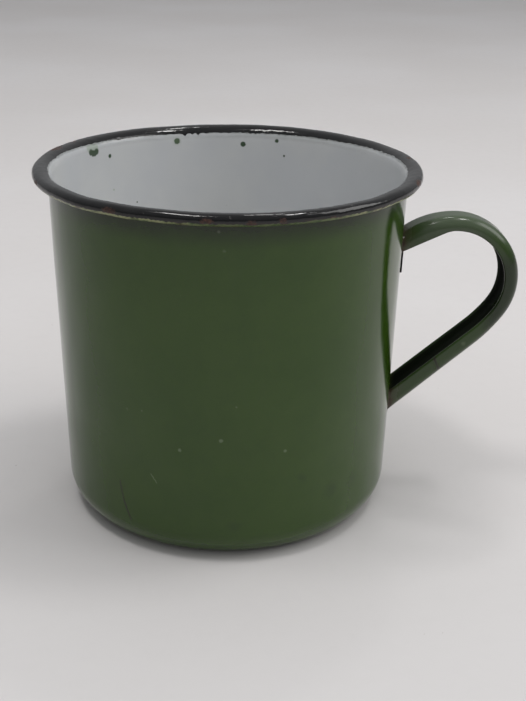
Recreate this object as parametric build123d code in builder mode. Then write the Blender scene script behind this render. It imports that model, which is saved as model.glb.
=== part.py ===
from build123d import *
import math
import os

# Enamelled steel drinking mug, millimetres, +Z up.
# The origin is on the mug's axis, at the plane it stands on. The handle points along +X.

# ---------------------------------------------------------------- driving dimensions
HEIGHT = 83.4            # overall height, ring the mug stands on to the crest of the rim
RIM_R = 45.0             # outermost radius of the rolled rim
STEEL = 0.6              # sheet thickness of the body
COAT = 0.2               # fired enamel on each side of the sheet
WALL = STEEL + 2 * COAT  # finished wall

FOOT_R = 39.74           # finished outer radius where the wall leaves the base corner
TOP_R = 41.62            # finished outer radius just under the rim
TOP_Z = 80.9             # height at which TOP_R is measured
CORNER_R = 7.8           # finished outer radius of the base corner

PANEL_RISE = 0.9         # how far the centre of the base is pressed up, clear of the table
RING_IN = 30.3           # inner edge of the flat ring the mug stands on
STEP_R = 2.5             # radius of the two bends that raise the centre panel

CURL_RISE_R = 2.2        # centreline radius of the bend from the wall to the crest of the rim
CURL_DROP_R = 0.775      # centreline radius of the bend from the crest down and back under
LIP_R = 41.95            # where the sheet ends, tucked under the rim just short of the wall
CREASE_R = 0.35          # enamel fillet in the crease between the wall and the rim

STRAP_W = 8.8            # finished width of the handle strap
STRAP_T = 0.6            # sheet thickness of the strap
STRAP_ROUND = 2.4        # finished radius on the strap's two long outer corners

# Side view of the strap's finished outer face: (crest, radius to the upper root, radius of the outer bend,
# angle at which the bend eases, easing radius, slope of the straight lower run). Angles in degrees.
GRIP = ((54.04, 71.72), 20.96, 15.92, -32.9, 37.33, 41.6)
# The same for the lips of the channel's two flanges, which are deeper at the roots than round the bend.
# Before its crest this line is straight, at EDGE_ROOT degrees.
EDGE = ((53.79, 68.46), 6.0, 12.47, -34.6, 28.72, 40.7)
EDGE_ROOT = 24.9

TAB_LOW = 58.0           # lower end of the tab turned down behind the upper root
TAB_TOP = 66.85          # where the tab joins the web of the strap
FOOT_LOW = 21.9          # where the foot joins the web at the lower root
FOOT_TOP = 25.8          # upper end of the foot
SEAT_T = 0.6             # thickness of the tab and the foot
UPPER_NUGGETS = [(0.0, 60.4), (0.0, 63.9)]    # (y, z) of the spot welds
UPPER_NUGGET_R = 1.2
LOWER_NUGGETS = [(-1.4, 24.1), (1.4, 24.1)]
LOWER_NUGGET_R = 0.8
NUGGET_BITE = 0.3        # how far each nugget reaches into the sheet on either side

# ---------------------------------------------------------------- derived positions
TAPER = math.atan((TOP_R - FOOT_R) / (TOP_Z - CORNER_R))
CA, SA = math.cos(TAPER), math.sin(TAPER)
CORNER_X = FOOT_R - CORNER_R / CA                      # centre of the corner radius
STEP_A = math.acos(1 - PANEL_RISE / (2 * STEP_R))      # angle of each of the two panel bends
PANEL_R = RING_IN - 2 * STEP_R * math.sin(STEP_A)      # radius of the raised flat panel
RISE_Z = HEIGHT - WALL / 2 - CURL_RISE_R
RISE_X = FOOT_R + math.tan(TAPER) * (RISE_Z - CORNER_R) - WALL / 2 / CA + CURL_RISE_R / CA
DROP_X = RIM_R - WALL / 2 - CURL_DROP_R
DROP_Z = HEIGHT - WALL / 2 - CURL_DROP_R
UNDER_Z = DROP_Z - CURL_DROP_R - WALL / 2              # finished underside of the rim


def wall_r(z, d=0.0):
    """Radius of the wall at height z, on the surface a depth d under the finished outside."""
    return FOOT_R + math.tan(TAPER) * (z - CORNER_R) - d / CA


def arc(centre, radius, a0, a1):
    """An arc about centre from angle a0 to a1, degrees, drawn into the open line builder."""
    pts = [
        (centre[0] + radius * math.cos(math.radians(a)), centre[1] + radius * math.sin(math.radians(a)))
        for a in (a0, (a0 + a1) / 2, a1)
    ]
    return ThreePointArc(*pts)


TAPER_D = math.degrees(TAPER)
STEP_D = math.degrees(STEP_A)


def base_run(d, outward=True):
    """Axis to the foot of the corner, on the surface a depth d under the finished outside."""
    low = (PANEL_R, PANEL_RISE - STEP_R)
    high = (RING_IN, STEP_R)
    if outward:
        Line((0, PANEL_RISE + d), (PANEL_R, PANEL_RISE + d))
        arc(low, STEP_R + d, 90, 90 - STEP_D)
        arc(high, STEP_R - d, -90 - STEP_D, -90)
        Line((RING_IN, d), (CORNER_X, d))
    else:
        Line((CORNER_X, d), (RING_IN, d))
        arc(high, STEP_R - d, -90, -90 - STEP_D)
        arc(low, STEP_R + d, 90 - STEP_D, 90)
        Line((PANEL_R, PANEL_RISE + d), (0, PANEL_RISE + d))


def wall_foot(d):
    return (CORNER_X + (CORNER_R - d) * CA, CORNER_R - (CORNER_R - d) * SA)


def wall_head(d):
    r = CURL_RISE_R + d - WALL / 2
    return (RISE_X - r * CA, RISE_Z + r * SA)


def corner_up(d):
    arc((CORNER_X, CORNER_R), CORNER_R - d, -90, -TAPER_D)


def corner_down(d):
    arc((CORNER_X, CORNER_R), CORNER_R - d, -TAPER_D, -90)


# ---------------------------------------------------------------- strap side profile
STRAP_START_X = 39.0                         # both ends of the blank reach inside the wall
STRAP_KNEE_X = 40.7                          # inside it, the upper end is deepened
STRAP_END_X = 38.0


def strap_frame(line, k):
    """Centres, radii, turn, lower-run direction and joint of a strap line, moved k mm into the loop."""
    (cx, cz), r1, r2, turn, r3, slope = line
    t, s = math.radians(turn), math.radians(slope)
    c1, c2 = (cx, cz - r1), (cx, cz - r2)
    c3 = (c2[0] + (r2 - r3) * math.cos(t), c2[1] + (r2 - r3) * math.sin(t))
    joint = (c3[0] + (r3 - k) * math.sin(s), c3[1] - (r3 - k) * math.cos(s))
    run = (math.cos(s), math.sin(s))
    far = (joint[0] - STRAP_END_X) / run[0]
    end = (joint[0] - run[0] * far, joint[1] - run[1] * far)
    return c1, c2, c3, r1 - k, r2 - k, r3 - k, turn, slope, joint, end


def strap_line(line, k, forward=True):
    """A strap line, moved k mm into the loop, from the upper end to the lower or back. Returns its two ends."""
    c1, c2, c3, r1, r2, r3, turn, slope, joint, end = strap_frame(line, k)
    if line is EDGE:
        a0 = 90 + EDGE_ROOT
        lift = (c1[0] + r1 * math.cos(math.radians(a0)), c1[1] + r1 * math.sin(math.radians(a0)))
        knee = (STRAP_KNEE_X, lift[1] - (lift[0] - STRAP_KNEE_X) * math.tan(math.radians(EDGE_ROOT)))
        start = (STRAP_START_X, TAB_LOW)
    else:
        a0 = math.degrees(math.acos((STRAP_START_X - c1[0]) / r1))
        start = (STRAP_START_X, c1[1] + r1 * math.sin(math.radians(a0)))
    if forward:
        if line is EDGE:
            Line(start, knee)
            Line(knee, lift)
        arc(c1, r1, a0, 90)
        arc(c2, r2, 90, turn)
        arc(c3, r3, turn, slope - 90)
        Line(joint, end)
    else:
        Line(end, joint)
        arc(c3, r3, slope - 90, turn)
        arc(c2, r2, turn, 90)
        arc(c1, r1, 90, a0)
        if line is EDGE:
            Line(lift, knee)
            Line(knee, start)
    return start, end


def strap_depth(x, z):
    """How deep a point lies under the strap's finished outer face."""
    c1, c2, c3, r1, r2, r3, turn, slope, joint, end = strap_frame(GRIP, 0)
    if x <= c1[0] and z > 50:
        return r1 - math.hypot(x - c1[0], z - c1[1])
    if math.degrees(math.atan2(z - c2[1], x - c2[0])) >= turn and x > c2[0]:
        return r2 - math.hypot(x - c2[0], z - c2[1])
    if math.degrees(math.atan2(z - c3[1], x - c3[0])) >= slope - 90:
        return r3 - math.hypot(x - c3[0], z - c3[1])
    s = math.radians(slope)
    return (joint[0] - x) * math.sin(s) - (joint[1] - z) * math.cos(s)


def flange_band(k):
    """The closed side profile of the strap k mm inside its finished faces, outer face to lips."""
    s0, e0 = strap_line(GRIP, k, True)
    c1, c2, c3, r1, r2, r3, turn, slope, joint, e1 = strap_frame(EDGE, -k)
    Line(e0, e1)
    s1, e1 = strap_line(EDGE, -k, False)
    Line(s1, s0)


def hollow_band(k):
    """The closed side profile of the channel's hollow, from depth k to well past the lips."""
    s0, e0 = strap_line(GRIP, k, True)
    c1, c2, c3, r1, r2, r3, turn, slope, joint, e1 = strap_frame(EDGE, 1.5)
    Line(e0, e1)
    s1, e1 = strap_line(EDGE, 1.5, False)
    Line(s1, s0)


def long_corners(edges, k, half):
    """The edges that run along the strap at depth k, on its two sides."""
    picked = ShapeList()
    for e in edges:
        m = e.position_at(0.5)
        if abs(abs(m.Y) - half) < 1e-3 and abs(strap_depth(m.X, m.Z) - k) < 1e-3:
            picked.append(e)
    return picked


def plate(z0, z1, out):
    """A plate lying against the wall between two heights, proud of the bare steel by out."""
    Polyline(
        (STRAP_START_X - 1, z0),
        (wall_r(z0, COAT) + out, z0),
        (wall_r(z1, COAT) + out, z1),
        (STRAP_START_X - 1, z1),
        close=True,
    )


HOLLOW_T = STRAP_T + 2 * COAT                # finished thickness of the strap's walls

# The channel's hollow in the bare strap, with its rounded inner corners, and the same under the enamel.
with BuildPart() as bare_hollow:
    with BuildSketch(Plane.XZ) as section:
        with BuildLine():
            hollow_band(COAT + STRAP_T)
        make_face()
    extrude(amount=STRAP_W / 2 - COAT - STRAP_T, both=True)
    fillet(long_corners(bare_hollow.edges(), COAT + STRAP_T, STRAP_W / 2 - COAT - STRAP_T), STRAP_ROUND - COAT - STRAP_T)

with BuildPart() as finished_hollow:
    with BuildSketch(Plane.XZ) as section:
        with BuildLine():
            hollow_band(HOLLOW_T)
        make_face()
    extrude(amount=STRAP_W / 2 - HOLLOW_T, both=True)
    fillet(long_corners(finished_hollow.edges(), HOLLOW_T, STRAP_W / 2 - HOLLOW_T), STRAP_ROUND - HOLLOW_T)

# Bare strap, with both ends still running into the wall.
with BuildPart() as strap_blank:
    with BuildSketch(Plane.XZ) as band:
        with BuildLine():
            flange_band(COAT)
        make_face()
    extrude(amount=STRAP_W / 2 - COAT, both=True)
    fillet(long_corners(strap_blank.edges(), COAT, STRAP_W / 2 - COAT), STRAP_ROUND - COAT)
    add(bare_hollow.part, mode=Mode.SUBTRACT)
    with BuildSketch(Plane.XZ) as tab:
        with BuildLine():
            plate(TAB_LOW, TAB_TOP, SEAT_T)
        make_face()
    extrude(amount=STRAP_W / 2 - COAT - STRAP_T, both=True)
    with BuildSketch(Plane.XZ) as foot:
        with BuildLine():
            plate(FOOT_LOW, FOOT_TOP, SEAT_T)
        make_face()
    extrude(amount=STRAP_W / 2 - COAT - 2 * STRAP_T, both=True)

# The strap with its enamel on, before the steel is taken out of it.
with BuildPart() as strap_dipped:
    with BuildSketch(Plane.XZ) as band:
        with BuildLine():
            flange_band(0)
        make_face()
    extrude(amount=STRAP_W / 2, both=True)
    fillet(long_corners(strap_dipped.edges(), 0, STRAP_W / 2), STRAP_ROUND)
    add(finished_hollow.part, mode=Mode.SUBTRACT)
    with BuildSketch(Plane.XZ) as tab:
        with BuildLine():
            plate(TAB_LOW - COAT, TAB_TOP, SEAT_T + COAT)
        make_face()
    extrude(amount=STRAP_W / 2 - STRAP_T, both=True)
    with BuildSketch(Plane.XZ) as foot:
        with BuildLine():
            plate(FOOT_LOW, FOOT_TOP + COAT, SEAT_T + COAT)
        make_face()
    extrude(amount=STRAP_W / 2 - COAT - STRAP_T, both=True)

# Everything inside the bare outside of the wall, and everything inside the finished outside.
with BuildPart() as bare_inside:
    with BuildSketch(Plane.XZ):
        with BuildLine():
            Polyline((0, 5), (wall_r(5, COAT), 5), (wall_r(78, COAT), 78), (0, 78), close=True)
        make_face()
    revolve(axis=Axis.Z)

with BuildPart() as finished_inside:
    with BuildSketch(Plane.XZ):
        with BuildLine():
            Polyline((0, 5), (wall_r(5), 5), (wall_r(78), 78), (0, 78), close=True)
        make_face()
    revolve(axis=Axis.Z)

# ---------------------------------------------------------------- spot welds
# Each nugget lies half in the wall and half in the handle's tab or foot.
with BuildPart() as upper_spot_welds:
    for y, z in UPPER_NUGGETS:
        with BuildSketch(Plane(origin=(wall_r(z, COAT) - NUGGET_BITE, y, z), x_dir=(0, 1, 0), z_dir=(1, 0, 0))):
            Circle(UPPER_NUGGET_R)
        extrude(amount=2 * NUGGET_BITE)
upper_spot_welds.part.label = "upper_spot_welds"

with BuildPart() as lower_spot_welds:
    for y, z in LOWER_NUGGETS:
        with BuildSketch(Plane(origin=(wall_r(z, COAT) - NUGGET_BITE, y, z), x_dir=(0, 1, 0), z_dir=(1, 0, 0))):
            Circle(LOWER_NUGGET_R)
        extrude(amount=2 * NUGGET_BITE)
lower_spot_welds.part.label = "lower_spot_welds"

# ---------------------------------------------------------------- steel body
# One drawn sheet: pressed base, tapered wall, and the top edge rolled out and back under itself.
STEEL_OUT, STEEL_IN = COAT, COAT + STEEL
RISE_OUT = CURL_RISE_R + STEEL_OUT - WALL / 2
RISE_IN = CURL_RISE_R + STEEL_IN - WALL / 2
DROP_OUT = CURL_DROP_R + STEEL_OUT - WALL / 2
DROP_IN = CURL_DROP_R + STEEL_IN - WALL / 2

with BuildPart() as steel_body:
    with BuildSketch(Plane.XZ):
        with BuildLine():
            base_run(STEEL_OUT)
            corner_up(STEEL_OUT)
            Line(wall_foot(STEEL_OUT), wall_head(STEEL_OUT))
            arc((RISE_X, RISE_Z), RISE_OUT, 180 - TAPER_D, 90)
            Line((RISE_X, RISE_Z + RISE_OUT), (DROP_X, DROP_Z + DROP_OUT))
            arc((DROP_X, DROP_Z), DROP_OUT, 90, -90)
            Line((DROP_X, DROP_Z - DROP_OUT), (LIP_R, DROP_Z - DROP_OUT))
            Line((LIP_R, DROP_Z - DROP_OUT), (LIP_R, DROP_Z - DROP_IN))
            Line((LIP_R, DROP_Z - DROP_IN), (DROP_X, DROP_Z - DROP_IN))
            arc((DROP_X, DROP_Z), DROP_IN, -90, 90)
            Line((DROP_X, DROP_Z + DROP_IN), (RISE_X, RISE_Z + RISE_IN))
            arc((RISE_X, RISE_Z), RISE_IN, 90, 180 - TAPER_D)
            Line(wall_head(STEEL_IN), wall_foot(STEEL_IN))
            corner_down(STEEL_IN)
            base_run(STEEL_IN, outward=False)
            Line((0, PANEL_RISE + STEEL_IN), (0, PANEL_RISE + STEEL_OUT))
        make_face()
    revolve(axis=Axis.Z)
    add(upper_spot_welds.part, mode=Mode.SUBTRACT)
    add(lower_spot_welds.part, mode=Mode.SUBTRACT)
steel_body.part.label = "steel_body"

# ---------------------------------------------------------------- steel handle
# A pressed channel-section strap, open towards the loop, ending on the wall.
with BuildPart() as steel_handle:
    add(strap_blank.part)
    add(bare_inside.part, mode=Mode.SUBTRACT)
    add(upper_spot_welds.part, mode=Mode.SUBTRACT)
    add(lower_spot_welds.part, mode=Mode.SUBTRACT)
steel_handle.part.label = "steel_handle"

# ---------------------------------------------------------------- enamel coats
# White lining, from the floor of the mug up to the start of the rim.
with BuildPart() as interior_enamel:
    with BuildSketch(Plane.XZ):
        with BuildLine():
            base_run(STEEL_IN)
            corner_up(STEEL_IN)
            Line(wall_foot(STEEL_IN), wall_head(STEEL_IN))
            Line(wall_head(STEEL_IN), wall_head(WALL))
            Line(wall_head(WALL), wall_foot(WALL))
            corner_down(WALL)
            base_run(WALL, outward=False)
            Line((0, PANEL_RISE + WALL), (0, PANEL_RISE + STEEL_IN))
        make_face()
    revolve(axis=Axis.Z)
interior_enamel.part.label = "interior_enamel"

# Black band over the rolled rim, from the head of the lining round to the rim's underside.
RISE_FIN = CURL_RISE_R + WALL / 2
DROP_FIN = CURL_DROP_R + WALL / 2
with BuildPart() as rim_enamel:
    with BuildSketch(Plane.XZ):
        with BuildLine():
            Line(wall_head(STEEL_IN), wall_head(WALL))
            arc((RISE_X, RISE_Z), RISE_FIN, 180 - TAPER_D, 90)
            Line((RISE_X, RISE_Z + RISE_FIN), (DROP_X, DROP_Z + DROP_FIN))
            arc((DROP_X, DROP_Z), DROP_FIN, 90, -90)
            Line((DROP_X, DROP_Z - DROP_FIN), (DROP_X, DROP_Z - DROP_IN))
            arc((DROP_X, DROP_Z), DROP_IN, -90, 90)
            Line((DROP_X, DROP_Z + DROP_IN), (RISE_X, RISE_Z + RISE_IN))
            arc((RISE_X, RISE_Z), RISE_IN, 90, 180 - TAPER_D)
        make_face()
    revolve(axis=Axis.Z)
rim_enamel.part.label = "rim_enamel"

# Green coat: base corner, wall, the crease under the rim, and the rim's underside.
# It stops round the bare steel of the handle's ends.
LIP_Z = DROP_Z - DROP_IN
CLOSE_A = math.degrees(math.asin((LIP_Z - RISE_Z) / RISE_OUT))
CLOSE_X = RISE_X - RISE_OUT * math.cos(math.radians(CLOSE_A))
# centre of the crease fillet, touching the wall's face and the rim's underside
CREASE_Z = UNDER_Z - CREASE_R
CREASE_X = wall_r(CREASE_Z) + CREASE_R / CA
with BuildPart() as exterior_enamel:
    with BuildSketch(Plane.XZ):
        with BuildLine():
            corner_up(0)
            Line(wall_foot(0), (CREASE_X - CREASE_R * CA, CREASE_Z + CREASE_R * SA))
            arc((CREASE_X, CREASE_Z), CREASE_R, 180 - TAPER_D, 90)
            Line((CREASE_X, UNDER_Z), (DROP_X, UNDER_Z))
            Line((DROP_X, UNDER_Z), (DROP_X, LIP_Z))
            Line((DROP_X, LIP_Z), (CLOSE_X, LIP_Z))
            arc((RISE_X, RISE_Z), RISE_OUT, 180 - CLOSE_A, 180 - TAPER_D)
            Line(wall_head(STEEL_OUT), wall_foot(STEEL_OUT))
            corner_down(STEEL_OUT)
            Line((CORNER_X, STEEL_OUT), (CORNER_X, 0))
        make_face()
    revolve(axis=Axis.Z)
    add(strap_blank.part, mode=Mode.SUBTRACT)
exterior_enamel.part.label = "exterior_enamel"

# Green coat under the base: the ring the mug stands on and the raised centre panel.
with BuildPart() as base_enamel:
    with BuildSketch(Plane.XZ):
        with BuildLine():
            base_run(0)
            Line((CORNER_X, 0), (CORNER_X, STEEL_OUT))
            base_run(STEEL_OUT, outward=False)
            Line((0, PANEL_RISE + STEEL_OUT), (0, PANEL_RISE))
        make_face()
    revolve(axis=Axis.Z)
base_enamel.part.label = "base_enamel"

# Green coat over the handle strap, inside and out, with its tab and foot.
with BuildPart() as handle_enamel:
    add(strap_dipped.part)
    add(strap_blank.part, mode=Mode.SUBTRACT)
    add(finished_inside.part, mode=Mode.SUBTRACT)
handle_enamel.part.label = "handle_enamel"

# ---------------------------------------------------------------- one STEP for each piece
os.makedirs("parts", exist_ok=True)
export_step(steel_body.part, "parts/steel_body.step")
export_step(steel_handle.part, "parts/steel_handle.step")
export_step(upper_spot_welds.part, "parts/upper_spot_welds.step")
export_step(lower_spot_welds.part, "parts/lower_spot_welds.step")
export_step(interior_enamel.part, "parts/interior_enamel.step")
export_step(exterior_enamel.part, "parts/exterior_enamel.step")
export_step(base_enamel.part, "parts/base_enamel.step")
export_step(rim_enamel.part, "parts/rim_enamel.step")
export_step(handle_enamel.part, "parts/handle_enamel.step")
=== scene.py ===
import math

import bmesh
import bpy
import numpy as np
from mathutils import Matrix, Vector


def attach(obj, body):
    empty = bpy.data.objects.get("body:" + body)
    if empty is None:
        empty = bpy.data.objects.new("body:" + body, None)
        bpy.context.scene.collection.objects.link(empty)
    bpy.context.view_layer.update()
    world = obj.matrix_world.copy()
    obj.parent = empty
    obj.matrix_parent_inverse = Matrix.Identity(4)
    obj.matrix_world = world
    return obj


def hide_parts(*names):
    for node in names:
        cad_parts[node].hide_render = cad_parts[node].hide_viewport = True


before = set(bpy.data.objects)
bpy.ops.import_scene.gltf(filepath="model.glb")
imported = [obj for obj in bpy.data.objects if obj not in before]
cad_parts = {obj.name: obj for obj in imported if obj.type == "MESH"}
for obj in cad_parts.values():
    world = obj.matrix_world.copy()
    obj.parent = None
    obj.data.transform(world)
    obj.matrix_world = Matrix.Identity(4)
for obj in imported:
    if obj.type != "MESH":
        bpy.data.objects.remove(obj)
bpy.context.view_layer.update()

MM = 0.001
RNG = np.random.default_rng(41)

# ------------------------------------------------------------------ the CAD's own dimensions, mm
HEIGHT = 83.4
WALL = 1.0
FOOT_R, TOP_R, TOP_Z, CORNER_R = 39.74, 41.62, 80.9, 7.8
PANEL_RISE, RING_IN, STEP_R = 0.9, 30.3, 2.5
TAPER = math.atan((TOP_R - FOOT_R) / (TOP_Z - CORNER_R))
CA, SA, TA = math.cos(TAPER), math.sin(TAPER), math.tan(TAPER)
CORNER_X = FOOT_R - CORNER_R / CA
STEP_A = math.acos(1 - PANEL_RISE / (2 * STEP_R))
PANEL_R = RING_IN - 2 * STEP_R * math.sin(STEP_A)
RISE_R, DROP_R = 2.7, 1.275
RISE_Z = HEIGHT - RISE_R
RISE_X = FOOT_R + TA * (RISE_Z - CORNER_R) - 0.5 / CA + 2.2 / CA
DROP_X, DROP_Z = 45.0 - DROP_R, HEIGHT - DROP_R
UNDER_Z = DROP_Z - DROP_R
CREASE_R = 0.35
CREASE_Z = UNDER_Z - CREASE_R


def wall_r(z, d=0.0):
    return FOOT_R + TA * (z - CORNER_R) - d / CA


CREASE_X = wall_r(CREASE_Z) + CREASE_R / CA

# side view of the handle: (crest, radius to the upper root, bend radius, where it eases, easing radius, lower slope)
GRIP = ((54.04, 71.72), 20.96, 15.92, -32.9, 37.33, 41.6)
EDGE = ((53.79, 68.46), 6.0, 12.47, -34.6, 28.72, 40.7)
EDGE_ROOT = 24.9
STRAP_W, STRAP_ROUND, STRAP_WALL, CREST_DEPTH = 8.8, 2.6, 1.05, 3.27


# ------------------------------------------------------------------ small mesh tools
def ring_noise(waves, seed, n):
    """A smooth seeded curve round the mug, n samples, about -1 to 1. waves holds (waves round the mug, weight)."""
    g = np.random.default_rng(seed)
    t = np.linspace(0, 2 * math.pi, n, endpoint=False)
    out = np.zeros(n)
    total = 0.0
    for w, k in waves:
        for m in range(max(1, int(w * 0.75)), int(w * 1.3) + 2):
            a = g.normal() * k
            out += a * np.cos(m * t + g.uniform(0, 2 * math.pi))
            total += k * k / 2
    return out / (1.6 * math.sqrt(total))


def sheet_noise(theta, s, waves, seed):
    """A smooth seeded field over angle theta (periodic) and distance s, mm. waves holds (waves round, wavelength along s, weight)."""
    g = np.random.default_rng(seed)
    out = np.zeros(np.broadcast(theta, s).shape)
    total = 0.0
    for m0, length, k in waves:
        for _ in range(9):
            m = int(round(m0 * g.uniform(0.55, 1.45)))
            q = 2 * math.pi / length * g.uniform(-1.3, 1.3)
            out = out + k * np.cos(m * theta + q * s + g.uniform(0, 2 * math.pi))
            total += k * k / 2
    return out / (1.6 * math.sqrt(total))


def bump_at(theta, at, width, n=2.0):
    """1 at the angle at (degrees), falling to 0 about width degrees away."""
    d = (np.degrees(theta) - at + 180) % 360 - 180
    return np.exp(-np.abs(d / width) ** n)


def arc_pts(c, r, a0, a1, n, skip_first=False):
    a = np.radians(np.linspace(a0, a1, n + 1))
    if skip_first:
        a = a[1:]
    return [(c[0] + r * math.cos(t), c[1] + r * math.sin(t)) for t in a]


def line_pts(p, q, n, skip_first=False):
    k = np.linspace(0, 1, n + 1)
    if skip_first:
        k = k[1:]
    return [(p[0] + (q[0] - p[0]) * t, p[1] + (q[1] - p[1]) * t) for t in k]


def new_object(name, verts, faces, smooth_angle=40):
    mesh = bpy.data.meshes.new(name)
    mesh.from_pydata(verts, [], faces)
    mesh.validate(verbose=False)
    ob = bpy.data.objects.new(name, mesh)
    bpy.context.scene.collection.objects.link(ob)
    mesh.polygons.foreach_set("use_smooth", [True] * len(mesh.polygons))
    if smooth_angle < 180:
        mesh.set_sharp_from_angle(angle=math.radians(smooth_angle))
    mesh.update()
    return ob


def revolve(name, grid, closed, smooth_angle=40):
    """A closed body from grid[j, i] = (r, z), mm: j goes round the axis, i along the profile.
    An open profile starts and ends on the axis."""
    n, m = grid.shape[:2]
    g = grid.mean(0)
    if closed:
        area = np.sum(g[:, 0] * np.roll(g[:, 1], -1) - np.roll(g[:, 0], -1) * g[:, 1])
    else:
        area = np.sum(g[:-1, 0] * g[1:, 1] - g[1:, 0] * g[:-1, 1])
    if area < 0:
        grid = grid[:, ::-1]
    t = np.linspace(0, 2 * math.pi, n, endpoint=False)[:, None]
    xyz = np.stack([grid[..., 0] * np.cos(t), grid[..., 0] * np.sin(t), grid[..., 1]], -1) * MM
    faces = []
    if closed:
        verts = xyz.reshape(-1, 3)
        for j in range(n):
            a, b = j * m, ((j + 1) % n) * m
            for i in range(m):
                k = (i + 1) % m
                faces.append((a + i, b + i, b + k, a + k))
    else:
        first, last = xyz[0, 0], xyz[0, -1]
        body = xyz[:, 1:-1]
        q = m - 2
        verts = np.concatenate([body.reshape(-1, 3), [first], [last]])
        pf, pl = n * q, n * q + 1
        for j in range(n):
            a, b = j * q, ((j + 1) % n) * q
            faces.append((pf, b, a))
            for i in range(q - 1):
                faces.append((a + i, b + i, b + i + 1, a + i + 1))
            faces.append((pl, a + q - 1, b + q - 1))
    return new_object(name, verts.tolist(), faces, smooth_angle)


def profile_normals(p, closed):
    """Outward unit normals (r, z) of a profile that runs anticlockwise or clockwise, by central differences."""
    p = np.asarray(p, float)
    if closed:
        t = np.roll(p, -1, 0) - np.roll(p, 1, 0)
        area = np.sum(p[:, 0] * np.roll(p[:, 1], -1) - np.roll(p[:, 0], -1) * p[:, 1])
    else:
        t = np.gradient(p, axis=0)
        area = np.sum(p[:-1, 0] * p[1:, 1] - p[1:, 0] * p[:-1, 1])
    nrm = np.stack([t[:, 1], -t[:, 0]], -1)
    nrm /= np.maximum(np.hypot(nrm[:, 0], nrm[:, 1]), 1e-9)[:, None]
    return nrm if area > 0 else -nrm


def rim_drift(theta, z):
    """The hand-rolled rim's slight unevenness, mm, the same for every layer of it: (dr, dz)."""
    w = np.clip((z - 74.0) / 8.0, 0, 1) ** 2
    g = np.random.default_rng(907)
    dr = np.zeros_like(theta)
    dz = np.zeros_like(theta)
    for m in range(3, 26):
        k = 1.0 / (1 + (m / 11.0) ** 2)
        dr += k * g.normal() * np.cos(m * theta + g.uniform(0, 6.283))
        dz += k * g.normal() * np.cos(m * theta + g.uniform(0, 6.283))
    return 0.022 * dr * w, 0.024 * dz * w


def drifted(grid, theta):
    dr, dz = rim_drift(np.broadcast_to(theta, grid.shape[:2]).astype(float), grid[..., 1])
    grid[..., 0] += dr
    grid[..., 1] += dz
    return grid


# ------------------------------------------------------------------ profiles, inside the steel to the axis
def base_run(d, n_panel=18, n_step=8, n_ring=6):
    s = math.degrees(STEP_A)
    low, high = (PANEL_R, PANEL_RISE - STEP_R), (RING_IN, STEP_R)
    p = line_pts((0, PANEL_RISE + d), (PANEL_R, PANEL_RISE + d), n_panel)
    p += arc_pts(low, STEP_R + d, 90, 90 - s, n_step, True)
    p += arc_pts(high, STEP_R - d, -90 - s, -90, n_step, True)
    p += line_pts((RING_IN, d), (CORNER_X, d), n_ring, True)
    return p


def corner(d, n=20):
    return arc_pts((CORNER_X, CORNER_R), CORNER_R - d, -90, -math.degrees(TAPER), n, True)


def head(d):
    r = 2.2 + d - 0.5
    return (RISE_X - r * CA, RISE_Z + r * SA)


def up_wall(d, z1=None, n=64):
    foot = (CORNER_X + (CORNER_R - d) * CA, CORNER_R - (CORNER_R - d) * SA)
    top = head(d) if z1 is None else (wall_r(z1, d), z1)
    return line_pts(foot, top, n, True)


CREST_X = (RISE_X + DROP_X) / 2


def make_grid(profile, n):
    return np.repeat(np.asarray(profile, float)[None], n, 0)


N_WALL = 416
theta_wall = np.linspace(0, 2 * math.pi, N_WALL, endpoint=False)[:, None]


def wavy(grid, closed, weight, waves, seed, amount):
    """Moves the profile's points along its normals by a smooth seeded field, where weight (0 to 1, one per point) allows."""
    nrm = profile_normals(grid[0], closed)
    p = grid[0]
    s = np.concatenate([[0], np.cumsum(np.hypot(*np.diff(p, axis=0).T))])[None]
    field = sheet_noise(theta_wall, s, waves, seed) * amount * weight[None]
    # the waves would pinch into creases towards the axis, so they die out over the floor
    near_axis = np.clip((p[:, 0] - 26.0) / 12.0, 0, 1)[None]
    field = field * near_axis**2 * (3 - 2 * near_axis)
    grid[..., 0] += field * nrm[None, :, 0]
    grid[..., 1] += field * nrm[None, :, 1]
    return grid


# White lining: the face one sees, up over the rim to its crest under the black band, and back against the steel.
seen = base_run(1.0) + corner(1.0) + up_wall(1.0)
seen += arc_pts((RISE_X, RISE_Z), 2.7, 180 - math.degrees(TAPER), 90, 20, True)
seen += line_pts((RISE_X, HEIGHT), (CREST_X, HEIGHT), 1, True)
hidden = base_run(0.8, 9, 6, 3) + corner(0.8, 14) + up_wall(0.8, n=30)
hidden += arc_pts((RISE_X, RISE_Z), 2.5, 180 - math.degrees(TAPER), 90, 14, True)
hidden += line_pts((RISE_X, HEIGHT - 0.2), (CREST_X, HEIGHT - 0.2), 1, True)
white_profile = seen + hidden[::-1]
w = np.array([1.0 if i < len(seen) and p[1] < 78 else 0.0 for i, p in enumerate(white_profile)])
w = np.convolve(np.pad(w, 3, mode="edge"), np.ones(7) / 7, "valid")
w[len(seen):] = 0
grid = wavy(make_grid(white_profile, N_WALL), False, w, [(10, 26, 1.0), (26, 11, 0.5)], 5, 0.022)
grid = drifted(grid, theta_wall)
interior = revolve("interior_enamel_coat", grid, False)

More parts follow.
